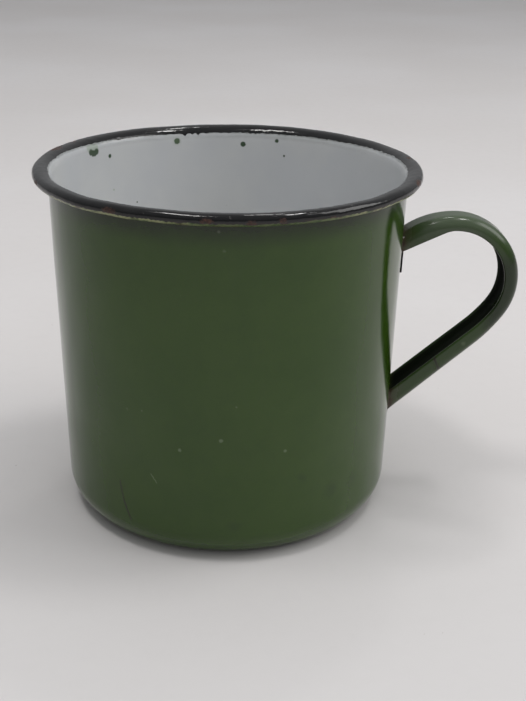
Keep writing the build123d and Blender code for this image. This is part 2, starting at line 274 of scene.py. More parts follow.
# Green coat: corner, wall, the crease under the rim, the rim's underside and up under the black band.
seen = [(CORNER_X, 0.0)] + corner(0.0, 26) + up_wall(0.0, CREASE_Z + CREASE_R * SA, 72)
seen += arc_pts((CREASE_X, CREASE_Z), CREASE_R, 180 - math.degrees(TAPER), 90, 6, True)
seen += line_pts((CREASE_X, UNDER_Z), (DROP_X, UNDER_Z), 4, True)
seen += arc_pts((DROP_X, DROP_Z), DROP_R, -90, 90, 26, True)
seen += line_pts((DROP_X, HEIGHT), (CREST_X, HEIGHT), 1, True)
hidden = [(CORNER_X, 0.2)] + corner(0.2, 16) + up_wall(0.2, UNDER_Z + 0.2, 30)
hidden += line_pts((wall_r(UNDER_Z + 0.2, 0.2), UNDER_Z + 0.2), (DROP_X, UNDER_Z + 0.2), 3, True)
hidden += arc_pts((DROP_X, DROP_Z), DROP_R - 0.2, -90, 90, 18, True)
hidden += line_pts((DROP_X, HEIGHT - 0.2), (CREST_X, HEIGHT - 0.2), 1, True)
green_profile = seen + hidden[::-1]
w = np.array([1.0 if i < len(seen) and 1.5 < p[1] < 79 and p[0] < 42 else 0.0 for i, p in enumerate(green_profile)])
w = np.convolve(np.pad(w, 3, mode="edge"), np.ones(7) / 7, "valid")
w[len(seen):] = 0
grid = wavy(make_grid(green_profile, N_WALL), True, w, [(8, 40, 1.0), (22, 30, 0.6), (44, 12, 0.22)], 11, 0.026)
grid = drifted(grid, theta_wall)
exterior = revolve("exterior_enamel_coat", grid, True)

# Green coat under the base, with three small marks where it stood on pins in the kiln.
seen = base_run(0.0, 40, 10, 8)
hidden = base_run(0.2, 20, 8, 4)
base_profile = seen + hidden[::-1]
w = np.array([1.0 if i < len(seen) - 10 else 0.0 for i in range(len(base_profile))])
w = np.convolve(np.pad(w, 2, mode="edge"), np.ones(5) / 5, "valid")
w[len(seen) - 8:] = 0
grid = wavy(make_grid(base_profile, N_WALL), False, w, [(7, 16, 1.0), (20, 8, 0.5)], 23, 0.03)
for at in (38, 161, 277):
    px, py = 22.5 * math.cos(math.radians(at)), 22.5 * math.sin(math.radians(at))
    gx = grid[:, : len(seen), 0] * np.cos(theta_wall)
    gy = grid[:, : len(seen), 0] * np.sin(theta_wall)
    dist = np.hypot(gx - px, gy - py)
    grid[:, : len(seen), 1] -= 0.05 * np.exp(-((dist - 1.3) / 0.45) ** 2) - 0.10 * np.exp(-((dist / 0.9) ** 2))
grid[..., 1] = np.maximum(grid[..., 1], 0.0)
base = revolve("base_enamel_coat", grid, False)

# ------------------------------------------------------------------ black band over the rim
N_RIM = 1260
theta_rim = np.linspace(0, 2 * math.pi, N_RIM, endpoint=False)
L_A = 2.7 * (math.pi / 2 - TAPER)
L_F = DROP_X - RISE_X
L_B = DROP_R * math.pi


def rim_line(s):
    """Point and outward normal (r, z) on the finished rim at distance s from the head of the wall, mm."""
    s = np.asarray(s, float)
    r = np.empty_like(s)
    z = np.empty_like(s)
    nr = np.empty_like(s)
    nz = np.empty_like(s)
    m = s < 0
    hx, hz = head(1.0)
    r[m], z[m], nr[m], nz[m] = hx + s[m] * SA, hz + s[m] * CA, -CA, SA
    m = (s >= 0) & (s < L_A)
    a = math.pi - TAPER - s[m] / 2.7
    r[m], z[m], nr[m], nz[m] = RISE_X + 2.7 * np.cos(a), RISE_Z + 2.7 * np.sin(a), np.cos(a), np.sin(a)
    m = (s >= L_A) & (s < L_A + L_F)
    r[m], z[m], nr[m], nz[m] = RISE_X + s[m] - L_A, HEIGHT, 0.0, 1.0
    m = s >= L_A + L_F
    a = math.pi / 2 - (s[m] - L_A - L_F) / DROP_R
    r[m], z[m], nr[m], nz[m] = DROP_X + DROP_R * np.cos(a), DROP_Z + DROP_R * np.sin(a), np.cos(a), np.sin(a)
    return r, z, nr, nz


s_in = 1.12 + 1.10 * np.abs(np.cos(theta_rim)) ** 3 + 0.11 * ring_noise([(36, 1.0), (110, 0.55), (240, 0.25)], 71, N_RIM)
for at, size, width in (
    (101.5, 0.50, 0.55), (103.6, 0.34, 0.5), (106.4, 0.60, 0.7), (98.6, 0.2, 0.6), (80.0, 0.34, 0.6), (82.2, 0.15, 0.5),
    (133.0, 0.25, 1.6), (24.5, -0.20, 0.9), (15.5, -0.25, 1.2), (58.0, -0.16, 2.2), (171.0, 0.25, 0.9), (190.0, 0.3, 1.1),
    (214.0, -0.2, 1.4), (233.0, 0.35, 0.8), (262.0, 0.25, 1.2), (291.0, -0.25, 0.9), (318.0, 0.3, 0.8), (344.0, 0.2, 1.3),
):
    s_in -= size * bump_at(theta_rim, at, width)
edge_a = -25.0 - 6.0 * ring_noise([(28, 1.0), (90, 0.7), (230, 0.45)], 72, N_RIM)
for at, size, width in (
    (-84, -13, 2.2), (-75.5, -15, 1.6), (-70.5, -9, 1.2), (-103, -8, 1.6), (-125.5, 6, 0.9), (-140, 5, 1.4), (-58, 5, 2.5),
    (-96.5, -5, 0.8), (12, -8, 2.0), (60, 6, 1.5), (95, -7, 1.8), (150, -9, 1.5), (172, 6, 1.2),
):
    edge_a += size * bump_at(theta_rim, at, width)
s_out = L_A + L_F + (math.pi / 2 - np.radians(edge_a)) * DROP_R

k = np.linspace(0, 1, 46)
k = 0.5 - 0.5 * np.cos(math.pi * k) * (1 + 0.10 * (1 - np.cos(2 * math.pi * k)) * 0)
k_out = 0.62 * k + 0.38 * np.linspace(0, 1, 46)
s_top = s_in[:, None] + (s_out - s_in)[:, None] * k_out[None]
rr, zz, nr, nz = rim_line(s_top)
from_edge = np.minimum(s_top - s_in[:, None], s_out[:, None] - s_top)
lip = np.sqrt(np.clip(1 - (1 - np.clip(from_edge / 0.16, 0, 1)) ** 2, 0, 1))
film = 0.055 + 0.012 * sheet_noise(theta_rim[:, None], s_top, [(60, 3.0, 1.0), (170, 1.4, 0.5)], 73)
film += 0.022 * np.exp(-(((from_edge - 0.22) / 0.16) ** 2))
# worn and chipped places, where the band is thin
RUST = [
    (-122.5, 6.5, 2.1, 1.0), (-95.5, 6.6, 1.6, 0.8), (-84.0, 6.9, 1.4, 0.7), (-76.0, 6.7, 1.0, 0.8), (163.0, 4.4, 3.2, 1.2),
    (152.0, 4.6, 1.6, 0.7), (-62.0, 7.1, 1.0, 0.6), (121.0, 5.2, 1.6, 0.5), (62.0, 5.4, 1.8, 0.6), (-20.0, 5.8, 2.4, 0.9),
    (-160.0, 6.6, 1.9, 0.7), (8.0, 4.2, 1.4, 0.6),
]
for at, s0, wide, tall in RUST:
    arc_mm = ((np.degrees(theta_rim) - at + 180) % 360 - 180) * math.pi / 180 * 44
    d = np.hypot(arc_mm[:, None] / wide, (s_top - s0) / tall)
    d = d + 0.22 * sheet_noise(theta_rim[:, None], s_top, [(200, 1.2, 1.0)], int(1000 + at))
    film -= 0.030 / (1 + np.exp((d - 0.75) / 0.10))
film = np.maximum(film, 0.012)
top = np.stack([rr + nr * (film * lip - 0.012 * (1 - lip)), zz + nz * (film * lip - 0.012 * (1 - lip))], -1)
k_in = np.linspace(1, 0, 16)
s_low = s_in[:, None] + 0.03 + (s_out - s_in - 0.06)[:, None] * k_in[None]
rr, zz, nr, nz = rim_line(s_low)
under = np.stack([rr - nr * 0.035, zz - nz * 0.035], -1)
grid = drifted(np.concatenate([top, under], 1), theta_rim[:, None])
rim = revolve("rim_enamel_band", grid, True, 70)


# ------------------------------------------------------------------ handle: a swept channel, its ends cut to the wall
def side_line(line, step=0.02):
    """Dense points, mm, along one of the handle's two side-view lines, wall to wall, and their inward normals."""
    (cx, cz), r1, r2, turn, r3, slope = line
    t, s = math.radians(turn), math.radians(slope)
    c1, c2 = (cx, cz - r1), (cx, cz - r2)
    c3 = (c2[0] + (r2 - r3) * math.cos(t), c2[1] + (r2 - r3) * math.sin(t))
    joint = (c3[0] + r3 * math.sin(s), c3[1] - r3 * math.cos(s))
    pts, nrm = [], []

    def sweep(c, r, a0, a1):
        n = max(3, int(abs(math.radians(a1 - a0)) * r / step))
        for a in np.radians(np.linspace(a0, a1, n, endpoint=False)):
            pts.append((c[0] + r * math.cos(a), c[1] + r * math.sin(a)))
            nrm.append((-math.cos(a), -math.sin(a)))

    def straight(p, q, n_dir):
        n = max(3, int(math.hypot(q[0] - p[0], q[1] - p[1]) / step))
        for k in np.linspace(0, 1, n, endpoint=False):
            pts.append((p[0] + (q[0] - p[0]) * k, p[1] + (q[1] - p[1]) * k))
            nrm.append(n_dir)

    if line is EDGE:
        b = math.radians(90 + EDGE_ROOT)
        lift = (c1[0] + r1 * math.cos(b), c1[1] + r1 * math.sin(b))
        far = (38.0, lift[1] - (lift[0] - 38.0) * math.tan(math.radians(EDGE_ROOT)))
        straight(far, lift, (-math.cos(b), -math.sin(b)))
        sweep(c1, r1, 90 + EDGE_ROOT, 90)
    else:
        sweep(c1, r1, math.degrees(math.acos((38.5 - cx) / r1)), 90)
    sweep(c2, r2, 90, turn)
    sweep(c3, r3, turn, slope - 90)
    straight(joint, (joint[0] - math.cos(s) * 40, joint[1] - math.sin(s) * 40), (-math.sin(s), math.cos(s)))
    return np.array(pts), np.array(nrm)


grip_p, grip_n = side_line(GRIP)
grip_s = np.concatenate([[0], np.cumsum(np.hypot(*np.diff(grip_p, axis=0).T))])
edge_p, _ = side_line(EDGE, 0.05)
grip_d = np.zeros(len(grip_s))
for i in range(0, len(grip_s), 20):
    rel = edge_p - grip_p[i]
    across = rel[:, 0] * grip_n[i, 1] - rel[:, 1] * grip_n[i, 0]
    deep = rel[:, 0] * grip_n[i, 0] + rel[:, 1] * grip_n[i, 1]
    hit = np.nonzero((np.sign(across[1:]) != np.sign(across[:-1])) & (deep[1:] > 0) & (deep[1:] < 9))[0]
    grip_d[i] = deep[hit[0] + 1] if len(hit) else np.nan
seen_d = np.arange(0, len(grip_s), 20)
seen_d = seen_d[~np.isnan(grip_d[seen_d])]
grip_d = np.interp(grip_s, grip_s[seen_d], grip_d[seen_d])


def channel_section():
    """The channel's section at its crest, mm: (across, depth under its outer face, share of any further depth)."""
    h, d, r, t, rc = STRAP_W / 2, CREST_DEPTH, STRAP_ROUND, STRAP_WALL, 1.6
    tip = 0.5
    p = []

    def turn(cy, ck, rad, a0, a1, n, share):
        for a in np.radians(np.linspace(a0, a1, n)):
            p.append((cy + rad * math.cos(a), ck - rad * math.sin(a), share))

    def side(a, b, n):
        for k in np.linspace(0, 1, n + 2)[1:-1]:
            p.append(tuple(a[i] + (b[i] - a[i]) * k for i in range(3)))

    turn(-h + r, r, r, 180, 90, 15, 0.0)
    side((-h + r, 0, 0), (h - r, 0, 0), 7)
    turn(h - r, r, r, 90, 0, 15, 0.0)
    side((h, r, 0), (h, d - tip, 1), 4)
    turn(h - tip, d - tip, tip, 0, -90, 7, 1.0)
    turn(h - t + tip, d - tip, tip, -90, -180, 7, 1.0)
    side((h - t, d - tip, 1), (h - t, t + rc, 0), 4)
    for a in np.radians(np.linspace(0, 90, 9)):
        p.append((h - t - rc + rc * math.cos(a), t + rc - rc * math.sin(a), 0.0))
    side((h - t - rc, t, 0), (-h + t + rc, t, 0), 5)
    for a in np.radians(np.linspace(90, 180, 9)):
        p.append((-h + t + rc + rc * math.cos(a), t + rc - rc * math.sin(a), 0.0))
    side((-h + t, t + rc, 0), (-h + t, d - tip, 1), 4)
    turn(-h + t - tip, d - tip, tip, 0, -90, 7, 1.0)
    turn(-h + tip, d - tip, tip, -90, -180, 7, 1.0)
    side((-h, d - tip, 1), (-h, r, 0), 4)
    out = [p[0]]
    for q in p[1:]:
        if math.hypot(q[0] - out[-1][0], q[1] - out[-1][1]) > 0.02:
            out.append(q)
    return np.array(out)


section = channel_section()
share = section[:, 2]
section = section[:, :2]
sec_n = np.roll(section, -1, 0) - np.roll(section, 1, 0)
sec_n = np.stack([sec_n[:, 1], -sec_n[:, 0]], -1)
sec_n /= np.hypot(sec_n[:, 0], sec_n[:, 1])[:, None]
sec_area = np.sum(section[:, 0] * np.roll(section[:, 1], -1) - np.roll(section[:, 0], -1) * section[:, 1])
if sec_area < 0:
    sec_n = -sec_n


def on_strap(s, y, k, grow=0.0):
    """Points for section vertices at distances s along the strap, mm. k is the crest's depth."""
    deep = k + share * (np.interp(s, grip_s, grip_d) - CREST_DEPTH) + sec_n[:, 1] * grow
    x = np.interp(s, grip_s, grip_p[:, 0]) + np.interp(s, grip_s, grip_n[:, 0]) * deep
    z = np.interp(s, grip_s, grip_p[:, 1]) + np.interp(s, grip_s, grip_n[:, 1]) * deep
    return np.stack([x, y + sec_n[:, 0] * grow, z], -1)


# where each line along the strap meets the wall's cone, 0.15 mm under its skin
s_up, s_lo = np.zeros(len(section)), np.zeros(len(section))
for i, (y, k) in enumerate(section):
    deep = k + share[i] * (grip_d - CREST_DEPTH)
    x, z = grip_p[:, 0] + grip_n[:, 0] * deep, grip_p[:, 1] + grip_n[:, 1] * deep
    gap = np.hypot(x, y) - (FOOT_R + TA * (z - CORNER_R) - 0.15 / CA)
    out = np.nonzero(gap > 0)[0]
    a, b = out[0], out[-1]
    s_up[i] = np.interp(0, [gap[a - 1], gap[a]], [grip_s[a - 1], grip_s[a]])
    s_lo[i] = np.interp(0, [gap[b + 1], gap[b]], [grip_s[b + 1], grip_s[b]])
NEAR = np.array([0, 0.05, 0.11, 0.18, 0.27, 0.38, 0.52, 0.70, 0.95])
MENISCUS = 0.42


def grip_rings():
    """Rings of points along the strap, from the wall at the upper root to the wall at the lower root."""
    y, k = section.T
    rings = []

    def fillet(t):
        e = max(0.0, 1 - max(0.0, t - 0.15) / MENISCUS)
        return MENISCUS * (1 - math.sqrt(max(0.0, 1 - e * e)))

    s_a, s_b = s_up.max() + 3.0, s_lo.min() - 3.0
    for t in NEAR:
        rings.append(on_strap(s_up + t, y, k, fillet(t)))
    for u in np.linspace(0, 1, 22)[1:]:
        rings.append(on_strap((s_up + NEAR[-1]) * (1 - u) + s_a * u, y, k))
    for u in np.linspace(0, 1, 190)[1:]:
        rings.append(on_strap(np.full(len(y), s_a * (1 - u) + s_b * u), y, k))
    for u in np.linspace(0, 1, 22)[1:]:
        rings.append(on_strap((s_lo - NEAR[-1]) * u + s_b * (1 - u), y, k))
    for t in NEAR[::-1][1:]:
        rings.append(on_strap(s_lo - t, y, k, fillet(t)))
    return np.array(rings)


def tube(name, rings, smooth_angle=40):
    n, m = rings.shape[:2]
    verts = (rings.reshape(-1, 3) * MM).tolist()
    faces = []
    for j in range(n - 1):
        for i in range(m):
            k2 = (i + 1) % m
            faces.append((j * m + i, (j + 1) * m + i, (j + 1) * m + k2, j * m + k2))
    faces.append(tuple(range(m)))
    faces.append(tuple((n - 1) * m + i for i in range(m))[::-1])
    ob = new_object(name, verts, faces, 180)
    bm = bmesh.new()
    bm.from_mesh(ob.data)
    bmesh.ops.recalc_face_normals(bm, faces=bm.faces)
    bm.to_mesh(ob.data)
    bm.free()
    ob.data.set_sharp_from_angle(angle=math.radians(smooth_angle))
    return ob


rings = grip_rings()
# the pressed strap is not dead true: a slow drift of a few hundredths along it
run_s = np.concatenate([[0], np.cumsum(np.linalg.norm(np.diff(rings.mean(1), axis=0), axis=1))])
fade = np.clip(np.minimum(run_s, run_s[-1] - run_s) / 12, 0, 1)
g = np.random.default_rng(19)
drift = sum(g.normal() * np.cos(2 * math.pi * run_s / length + g.uniform(0, 6)) for length in (37, 23, 15, 11))
rings[:, :, 1] += (0.03 * drift * fade)[:, None]
handle = tube("handle_enamel_coat", rings)


def wall_plate(name, z0, z1, out, half, rounding, low=True):
    """A plate lying on the wall under the strap, its free edges rounded over."""
    nu, nv = 25, 31
    outer, inner = [], []
    for iv in range(nv):
        for iu in range(nu):
            u, v = iu / (nu - 1), iv / (nv - 1)
            y, z = -half + 2 * half * u, z0 + (z1 - z0) * v
            e = min(half - abs(y), z - z0 if low else z1 - z) / rounding
            h = math.sqrt(max(0.0, 1 - max(0.0, 1 - e) ** 2))
            r = wall_r(z, 0.2)
            x_in = math.sqrt(wall_r(z, 0.17) ** 2 - y * y)
            x_out = r + out
            outer.append((max(x_in + 0.02, x_in + (x_out - x_in) * h), y, z))
            inner.append((x_in, y, z))
    verts = outer + inner
    q = nu * nv
    faces = []
    for iv in range(nv - 1):
        for iu in range(nu - 1):
            a = iv * nu + iu
            faces.append((a, a + 1, a + 1 + nu, a + nu))
            faces.append((q + a, q + a + nu, q + a + 1 + nu, q + a + 1))
    edge = [i for i in range(nu)] + [iv * nu + nu - 1 for iv in range(1, nv)]
    edge += [(nv - 1) * nu + i for i in range(nu - 2, -1, -1)] + [iv * nu for iv in range(nv - 2, 0, -1)]
    for i, a in enumerate(edge):
        b = edge[(i + 1) % len(edge)]
        faces.append((a, q + a, q + b, b))
    ob = new_object(name, [(x * MM, y * MM, z * MM) for x, y, z in verts], faces, 180)
    bm = bmesh.new()
    bm.from_mesh(ob.data)
    bmesh.ops.recalc_face_normals(bm, faces=bm.faces)
    bm.to_mesh(ob.data)
    bm.free()
    return ob


def boolean(target, other, operation):
    mod = target.modifiers.new("cut", "BOOLEAN")
    mod.object = other
    mod.operation = operation
    mod.solver = "EXACT"
    dg = bpy.context.evaluated_depsgraph_get()
    mesh = bpy.data.meshes.new_from_object(target.evaluated_get(dg))
    target.modifiers.remove(mod)
    if len(mesh.polygons) > 100:
        target.data = mesh
    return len(mesh.polygons)


tab = wall_plate("tab", 57.8, 66.8, 0.8, 3.43, 0.45)
foot = wall_plate("foot", 22.0, 26.0, 0.8, 3.15, 0.40, False)
boolean(handle, tab, "UNION")
boolean(handle, foot, "UNION")
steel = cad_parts["steel_handle"]
cutter = bpy.data.objects.new("cutter", steel.data.copy())
bpy.context.scene.collection.objects.link(cutter)
boolean(handle, cutter, "DIFFERENCE")
for spare in (tab, foot, cutter):
    mesh = spare.data
    bpy.data.objects.remove(spare)
    bpy.data.meshes.remove(mesh)
handle.data.polygons.foreach_set("use_smooth", [True] * len(handle.data.polygons))
handle.data.set_sharp_from_angle(angle=math.radians(42))
handle.data.update()


# ------------------------------------------------------------------ materials
class Finish:
    """A procedural material. Positions are in millimetres in the mug's own frame."""

    def __init__(self, name):
        self.mat = bpy.data.materials.new(name)
        self.mat.use_nodes = True
        self.tree = self.mat.node_tree
        self.tree.nodes.clear()
        out = self.tree.nodes.new("ShaderNodeOutputMaterial")
        self.bsdf = self.tree.nodes.new("ShaderNodeBsdfPrincipled")
        self.tree.links.new(self.bsdf.outputs["BSDF"], out.inputs["Surface"])
        coord = self.tree.nodes.new("ShaderNodeTexCoord")
        self.P = self.v("SCALE", coord.outputs["Object"], scale=1000.0)
        split = self.tree.nodes.new("ShaderNodeSeparateXYZ")
        self.tree.links.new(self.P, split.inputs[0])
        self.x, self.y, self.z = split.outputs
        self._r = None

    def put(self, socket, value):
        if isinstance(value, bpy.types.NodeSocket):
            self.tree.links.new(value, socket)
        elif value is not None:
            socket.default_value = value

    def m(self, op, a, b=None, c=None, clamp=False):
        n = self.tree.nodes.new("ShaderNodeMath")
        n.operation = op
        n.use_clamp = clamp
        self.put(n.inputs[0], a)
        self.put(n.inputs[1], b)
        self.put(n.inputs[2], c)
        return n.outputs[0]

    def v(self, op, a, b=None, scale=None):
        n = self.tree.nodes.new("ShaderNodeVectorMath")
        n.operation = op
        self.put(n.inputs[0], a)
        self.put(n.inputs[1], b)
        if scale is not None:
            self.put(n.inputs["Scale"], scale)
        return n.outputs["Value"] if op in ("LENGTH", "DISTANCE", "DOT_PRODUCT") else n.outputs["Vector"]

    @property
    def r(self):
        if self._r is None:
            self._r = self.v("LENGTH", self.v("MULTIPLY", self.P, (1.0, 1.0, 0.0)))
        return self._r

    def noise(self, size, detail=2.0, rough=0.5, at=None, distort=0.0, stretch=None, colour=False):
        """Noise with features about size mm across."""
        n = self.tree.nodes.new("ShaderNodeTexNoise")
        p = self.P if at is None else at
        if stretch is not None:
            p = self.v("MULTIPLY", p, stretch)
        self.put(n.inputs["Vector"], p)
        n.inputs["Scale"].default_value = 1.0 / size
        n.inputs["Detail"].default_value = detail
        n.inputs["Roughness"].default_value = rough
        n.inputs["Distortion"].default_value = distort
        return n.outputs["Color"] if colour else n.outputs[0]

    def cells(self, size, at=None, feature="F1"):
        n = self.tree.nodes.new("ShaderNodeTexVoronoi")
        n.feature = feature
        self.put(n.inputs["Vector"], self.P if at is None else at)
        n.inputs["Scale"].default_value = 1.0 / size
        return n.outputs["Distance"]

    def step(self, value, low, high, out0=0.0, out1=1.0):
        n = self.tree.nodes.new("ShaderNodeMapRange")
        n.interpolation_type = "SMOOTHSTEP"
        self.put(n.inputs["Value"], value)
        self.put(n.inputs["From Min"], low)
        self.put(n.inputs["From Max"], high)
        self.put(n.inputs["To Min"], out0)
        self.put(n.inputs["To Max"], out1)
        return n.outputs[0]

    def lerp(self, f, a, b):
        """a + (b - a) f for numbers."""
        n = self.tree.nodes.new("ShaderNodeMix")
        n.data_type = "FLOAT"
        self.put(n.inputs[0], f)
        self.put(n.inputs[2], a)
        self.put(n.inputs[3], b)
        return n.outputs[0]

    def mix(self, f, a, b):
        n = self.tree.nodes.new("ShaderNodeMix")
        n.data_type = "RGBA"
        self.put(n.inputs[0], f)
        self.put(n.inputs[6], (*a, 1.0) if isinstance(a, tuple) else a)
        self.put(n.inputs[7], (*b, 1.0) if isinstance(b, tuple) else b)
        return n.outputs[2]

    def warp(self, size, amount, at=None):
        """The position pushed about by noise of that size, by up to about amount mm, for ragged edges."""
        n = self.noise(size, 3.0, 0.6, at=at, colour=True)
        off = self.v("SUBTRACT", n, (0.5, 0.5, 0.5))
        off = self.v("SCALE", off, scale=2.0 * amount)
        return self.v("ADD", self.P if at is None else at, off)

    def spot(self, at, centre, radius, soft=0.25):
        d = self.v("DISTANCE", at, centre)
        return self.step(d, radius - soft, radius + soft, 1.0, 0.0)

    def scratch(self, at, a, b, half, soft):
        """A thin line from a to b, mm."""
        a, b = Vector(a), Vector(b)
        ab = b - a
        pa = self.v("SUBTRACT", at, tuple(a))
        t = self.m("MULTIPLY", self.v("DOT_PRODUCT", pa, tuple(ab)), 1.0 / ab.length_squared, clamp=True)
        on = self.v("SCALE", tuple(ab), scale=t)
        return self.step(self.v("DISTANCE", pa, on), half, half + soft, 1.0, 0.0)

    def top(self, *masks):
        out = masks[0]
        for q in masks[1:]:
            out = self.m("MAXIMUM", out, q)
        return out

    def bump(self, height, distance_mm, strength=1.0, after=None):
        n = self.tree.nodes.new("ShaderNodeBump")
        n.inputs["Strength"].default_value = strength
        n.inputs["Distance"].default_value = distance_mm * MM
        self.put(n.inputs["Height"], height)
        if after is not None:
            self.put(n.inputs["Normal"], after)
        return n.outputs[0]

    def done(self, colour, rough, normal=None, ior=1.5, metallic=None):
        b = self.bsdf
        self.put(b.inputs["Base Color"], colour)
        self.put(b.inputs["Roughness"], rough)
        b.inputs["IOR"].default_value = ior
        if metallic is not None:
            self.put(b.inputs["Metallic"], metallic)
        if normal is not None:
            self.put(b.inputs["Normal"], normal)
        return self.mat


def on_wall(theta, z, d=0.0, lift=0.0):
    """A point on the wall, mm, at an angle in degrees and a height."""
    r = wall_r(z, d) + lift
    return (r * math.cos(math.radians(theta)), r * math.sin(math.radians(theta)), z)


def on_rim(theta, s):
    r, z, _, _ = rim_line(np.array([s]))
    return (float(r[0]) * math.cos(math.radians(theta)), float(r[0]) * math.sin(math.radians(theta)), float(z[0]))


GREEN = (0.022, 0.056, 0.002)
GREEN_B = (0.028, 0.064, 0.004)
GREEN_DEEP = (0.013, 0.034, 0.004)
CREAM = (0.30, 0.31, 0.16)
RUSTY = (0.060, 0.028, 0.017)
RUSTY_DARK = (0.016, 0.010, 0.007)
KNOCK = (50.75, 36.1)


def green_finish(name, part):
    f = Finish(name)
    broad = f.noise(30.0, 3.0, 0.55)
    cloud = f.noise(6.5, 4.0, 0.6)
    fine = f.noise(0.55, 2.0, 0.6)
    tone = f.m("ADD", f.m("MULTIPLY", broad, 0.6), f.m("MULTIPLY", cloud, 0.4))
    col = f.mix(f.step(tone, 0.34, 0.66), GREEN, GREEN_B)
    col = f.mix(f.m("MULTIPLY", f.step(fine, 0.52, 0.75), 0.16), col, GREEN_DEEP)
    # the odd pale fleck in the glass
    fleck = f.cells(9.0, at=f.warp(4.0, 1.4))
    fleck = f.step(fleck, 0.022, 0.034, 1.0, 0.0)
    col = f.mix(f.m("MULTIPLY", fleck, 0.35), col, (0.16, 0.20, 0.12))
    rough = f.lerp(f.noise(4.0, 3.0, 0.6), 0.085, 0.17)
    ragged = f.warp(0.9, 0.28)
    peel = f.noise(1.7, 2.0, 0.5)
    pits = f.step(f.cells(2.6, at=f.warp(1.5, 0.5)), 0.05, 0.10)
    dull = None
    if part == "wall":
        # the pale undercoat that shows as a thin ragged line where the black band stops
        phi = f.m("ARCTAN2", f.m("SUBTRACT", f.z, DROP_Z), f.m("SUBTRACT", f.r, DROP_X))
        wob = f.m("ADD", f.m("MULTIPLY", f.noise(1.5, 3.0, 0.7), 0.9), f.m("MULTIPLY", f.noise(7.0, 1.0, 0.5), 0.6))
        low = f.m("SUBTRACT", -1.60, f.m("MULTIPLY", f.m("SUBTRACT", wob, 0.75), 1.6))
        strip = f.step(phi, low, f.m("ADD", low, 0.22))
        strip = f.m("MULTIPLY", strip, f.step(f.r, 43.2, 43.7))
        strip = f.m("MULTIPLY", strip, f.step(f.z, UNDER_Z - 0.15, UNDER_Z - 0.05))
        thin = f.step(f.noise(2.2, 3.0, 0.75), 0.38, 0.56, 0.20, 1.0)
        # it is dirtier and browner across the front
        front = f.step(f.v("DISTANCE", f.P, on_wall(-80, 82, 0, 3)), 9.0, 26.0, 0.22, 0.95)
        col = f.mix(f.m("MULTIPLY", strip, f.m("MULTIPLY", thin, front)), col, CREAM)
        dirt = f.m("MULTIPLY", strip, f.step(f.noise(3.4, 3.0, 0.6), 0.55, 0.68))
        col = f.mix(f.m("MULTIPLY", dirt, 0.8), col, RUSTY)
        # pale dots thrown off that line
        dots = [
            f.spot(ragged, on_wall(-117.4, 80.6, 0, 1.6), 0.34, 0.12), f.spot(ragged, on_wall(-115.1, 80.4, 0, 1.5), 0.36, 0.12),
            f.spot(ragged, on_wall(-85.0, 80.3, 0, 1.2), 0.26, 0.14), f.m("MULTIPLY", f.spot(ragged, on_wall(-92.6, 79.1), 0.30, 0.16), 0.6),
            f.m("MULTIPLY", f.spot(ragged, on_wall(-91.1, 75.0), 0.24, 0.25), 0.15),
        ]
        col = f.mix(f.m("MULTIPLY", f.top(*dots), 0.75), col, (0.42, 0.45, 0.36))
        faint = [
            f.spot(ragged, on_wall(-92.0, 31.6), 0.42, 0.2), f.spot(ragged, on_wall(-71.6, 28.05), 0.36, 0.2),
            f.spot(ragged, on_wall(-105.0, 28.6), 0.36, 0.2),
            f.scratch(ragged, on_wall(-115.2, 21.2), on_wall(-113.2, 19.2), 0.05, 0.16),
            f.scratch(ragged, on_wall(40.0, 40.0), on_wall(52.0, 31.0), 0.03, 0.14),
            f.scratch(ragged, on_wall(150.0, 55.0), on_wall(158.0, 49.0), 0.03, 0.14),
            f.spot(ragged, on_wall(120.0, 22.0), 0.5, 0.25), f.spot(ragged, on_wall(75.0, 47.0), 0.4, 0.2),
        ]
        col = f.mix(f.m("MULTIPLY", f.top(*faint), 0.42), col, (0.20, 0.25, 0.16))
        # a hair crack with dirt in it, running down into the corner, and dull smudges low on the other side
        crack = f.top(
            f.scratch(ragged, on_wall(-127.8, 17.1), on_wall(-126.5, 12.1), 0.06, 0.22),
            f.scratch(ragged, on_wall(-126.5, 12.1), on_wall(-123.8, 7.6), 0.08, 0.26),
        )
        smudge = f.top(
            f.spot(f.warp(2.6, 1.6), on_wall(-53.7, 14.9), 1.7, 1.5), f.spot(f.warp(2.6, 1.6), on_wall(-43, 14.7), 1.2, 1.2),
            f.spot(f.warp(2.2, 1.2), on_wall(-65, 20.5), 0.8, 0.9), f.spot(f.warp(2.6, 1.6), on_wall(-88, 9.5), 1.2, 1.4),
        )
        col = f.mix(f.m("MULTIPLY", crack, 0.85), col, RUSTY_DARK)
        col = f.mix(f.m("MULTIPLY", smudge, 0.40), col, GREEN_DEEP)
        # worn through and dirty where the corner meets the table
        edge = f.m("ADD", f.z, f.m("MULTIPLY", f.noise(3.2, 4.0, 0.7), -1.5))
        worn = f.step(edge, -0.75, 0.10, 1.0, 0.0)
        col = f.mix(worn, col, f.mix(f.step(f.noise(1.2, 2.0, 0.6), 0.4, 0.65), RUSTY_DARK, RUSTY))
        # painted shade under the rim: the wall is darkened to near black in the crease, standing in for the rim's
        # shadow and the dark it reflects there
        painted_shade_under_rim = f.m("MULTIPLY", f.step(f.z, 74.5, 80.9), f.step(f.r, 42.6, 41.9))
        col = f.mix(f.m("MULTIPLY", painted_shade_under_rim, f.step(f.noise(4.0, 3.0, 0.6), 0.35, 0.7, 0.75, 1.0)), col, (0.006, 0.012, 0.002))
